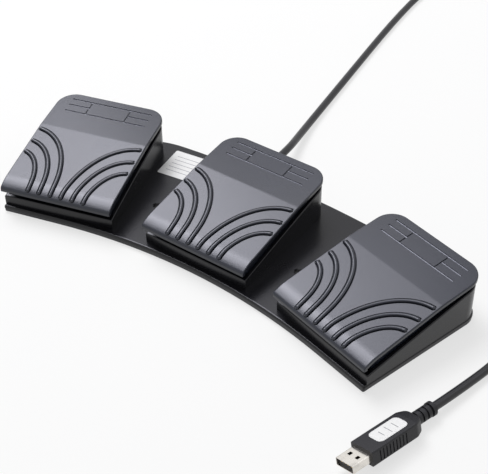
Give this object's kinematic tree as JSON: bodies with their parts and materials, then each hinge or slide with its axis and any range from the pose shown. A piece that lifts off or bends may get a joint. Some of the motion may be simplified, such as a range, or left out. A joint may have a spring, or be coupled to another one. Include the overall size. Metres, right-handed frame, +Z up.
{
  "type": "usb foot pedal switch",
  "caption": "Low USB foot switch: wide treadles fanned side by side on one curved base, each with raised wave ribs, and a lead that ends in a flat plug.",
  "frame": {"origin": "bottom centre of the pedal's bounding box without its lead, on the ground", "axes": "+X to the operator's right, +Y to the rear where the lead leaves, +Z up"},
  "size_m": [0.3269, 0.4658, 0.0319],
  "materials": {
    "treadle_plastic": "satin",
    "base_plastic": "gloss",
    "plate_plastic": "matte",
    "foot_rubber": "matte",
    "steel": "satin",
    "board_laminate": "gloss",
    "switch_plastic": "matte",
    "plunger_plastic": "satin",
    "chip_plastic": "matte",
    "connector_plastic": "satin",
    "wire_cover": "satin",
    "cord_cover": "satin",
    "plug_plastic": "satin",
    "shell_steel": "satin",
    "tongue_plastic": "matte",
    "contact_brass": "gloss",
    "label_paper": "matte"
  },
  "bodies": {
    "base": {"hinge_pin_left": "steel", "return_spring_left": "steel", "switch_board_left": "board_laminate", "switch_body_left": "switch_plastic", "bumpers_left": "foot_rubber", "hinge_pin_centre": "steel", "return_spring_centre": "steel", "switch_board_centre": "board_laminate", "switch_body_centre": "switch_plastic", "bumpers_centre": "foot_rubber", "hinge_pin_right": "steel", "return_spring_right": "steel", "switch_board_right": "board_laminate", "switch_body_right": "switch_plastic", "bumpers_right": "foot_rubber", "base_housing": "base_plastic", "bottom_plate": "plate_plastic", "rubber_feet": "foot_rubber", "bottom_screws": "steel", "board_screws": "steel", "control_board": "board_laminate", "control_stands": "connector_plastic", "control_chips": "chip_plastic", "cable_connector": "connector_plastic", "wires_left": "wire_cover", "wires_right": "wire_cover", "deck_label": "label_paper", "cable_relief": "cord_cover", "cable_tail": "cord_cover", "cable_rear_run": "cord_cover", "cable_coil": "cord_cover", "cable_plug_run": "cord_cover", "plug_neck": "plug_plastic", "plug_grip": "plug_plastic", "plug_shell": "shell_steel", "plug_tongue": "tongue_plastic", "plug_contacts": "contact_brass", "plug_label": "label_paper"},
    "treadle_left": {"treadle_left": "treadle_plastic"},
    "plunger_left": {"switch_plunger_left": "plunger_plastic"},
    "treadle_centre": {"treadle_centre": "treadle_plastic"},
    "plunger_centre": {"switch_plunger_centre": "plunger_plastic"},
    "treadle_right": {"treadle_right": "treadle_plastic"},
    "plunger_right": {"switch_plunger_right": "plunger_plastic"}
  },
  "joints": [
    {"name": "treadle_left_hinge", "type": "hinge", "parent": "base", "child": "treadle_left", "pos_m": [-0.11273, 0.02673, 0.02], "axis": [0.9644, 0.2644, 0], "range_deg": [0, 3], "stiffness_Nm_per_rad": 0.92, "springref_deg": -8.94, "deforming": ["return_spring_left"]},
    {"name": "plunger_left_slide", "type": "slide", "parent": "base", "child": "plunger_left", "axis": [0, 0, -1], "range_m": [0, 0.0011]},
    {"name": "treadle_centre_hinge", "type": "hinge", "parent": "base", "child": "treadle_centre", "pos_m": [0, 0.0419, 0.02], "axis": [1, 0, 0], "range_deg": [0, 3], "stiffness_Nm_per_rad": 0.92, "springref_deg": -8.94, "deforming": ["return_spring_centre"]},
    {"name": "plunger_centre_slide", "type": "slide", "parent": "base", "child": "plunger_centre", "axis": [0, 0, -1], "range_m": [0, 0.0011]},
    {"name": "treadle_right_hinge", "type": "hinge", "parent": "base", "child": "treadle_right", "pos_m": [0.11273, 0.02673, 0.02], "axis": [0.9644, -0.2644, 0], "range_deg": [0, 3], "stiffness_Nm_per_rad": 0.92, "springref_deg": -8.94, "deforming": ["return_spring_right"]},
    {"name": "plunger_right_slide", "type": "slide", "parent": "base", "child": "plunger_right", "axis": [0, 0, -1], "range_m": [0, 0.0011]}
  ],
  "couplings": [
    {"joint": "plunger_left_slide", "follows": "treadle_left_hinge", "m_per_rad": 0.021},
    {"joint": "plunger_centre_slide", "follows": "treadle_centre_hinge", "m_per_rad": 0.021},
    {"joint": "plunger_right_slide", "follows": "treadle_right_hinge", "m_per_rad": 0.021}
  ]
}
